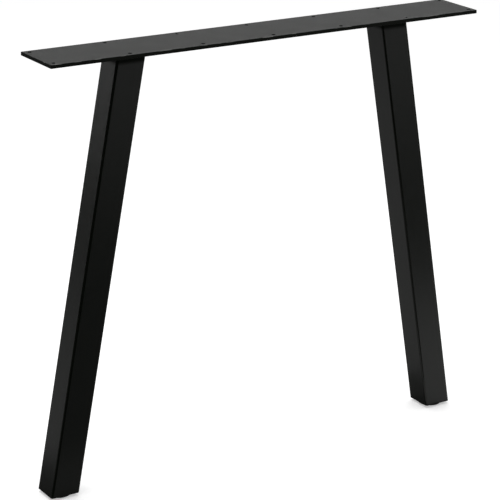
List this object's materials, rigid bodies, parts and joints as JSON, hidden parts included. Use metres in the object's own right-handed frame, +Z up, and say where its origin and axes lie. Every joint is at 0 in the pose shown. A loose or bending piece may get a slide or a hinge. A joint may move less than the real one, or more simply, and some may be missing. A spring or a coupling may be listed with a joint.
{
  "type": "table leg",
  "caption": "Welded steel trapezoid table leg: splayed square tubes under a drilled flat bar, standing on screw-adjustable round feet.",
  "frame": {"origin": "on the floor, under the middle of the top bar, with both feet screwed right in", "axes": "+X along the top bar towards the right leg, +Y across the bar, +Z up to the table top"},
  "size_m": [0.8, 0.1, 0.725],
  "materials": {
    "powder_coat": "satin black fine-structure powder coat",
    "zinc": "bright zinc plated",
    "foot_plastic": "black moulded nylon"
  },
  "bodies": {
    "frame": {"top_plate": "powder_coat", "left_leg_tube": "powder_coat", "left_top_weld": "powder_coat", "left_foot_plate": "powder_coat", "left_weld_nut": "zinc", "right_leg_tube": "powder_coat", "right_top_weld": "powder_coat", "right_foot_plate": "powder_coat", "right_weld_nut": "zinc"},
    "left_pad": {"left_foot_pad": "foot_plastic"},
    "left_stem": {"left_foot_stem": "zinc"},
    "right_pad": {"right_foot_pad": "foot_plastic"},
    "right_stem": {"right_foot_stem": "zinc"}
  },
  "joints": [
    {"name": "left_foot_height", "type": "slide", "parent": "frame", "child": "left_pad", "axis": [0, 0, -1], "range_m": [0, 0.01]},
    {"name": "left_foot_turn", "type": "hinge", "parent": "left_pad", "child": "left_stem", "pos_m": [-0.37461, 0, 0.01], "axis": [0, 0, -1], "range_deg": [0, 2880]},
    {"name": "right_foot_height", "type": "slide", "parent": "frame", "child": "right_pad", "axis": [0, 0, -1], "range_m": [0, 0.01]},
    {"name": "right_foot_turn", "type": "hinge", "parent": "right_pad", "child": "right_stem", "pos_m": [0.37461, 0, 0.01], "axis": [0, 0, -1], "range_deg": [0, 2880]}
  ],
  "couplings": [
    {"joint": "left_foot_turn", "follows": "left_foot_height", "rad_per_m": 5026.5},
    {"joint": "right_foot_turn", "follows": "right_foot_height", "rad_per_m": 5026.5}
  ]
}
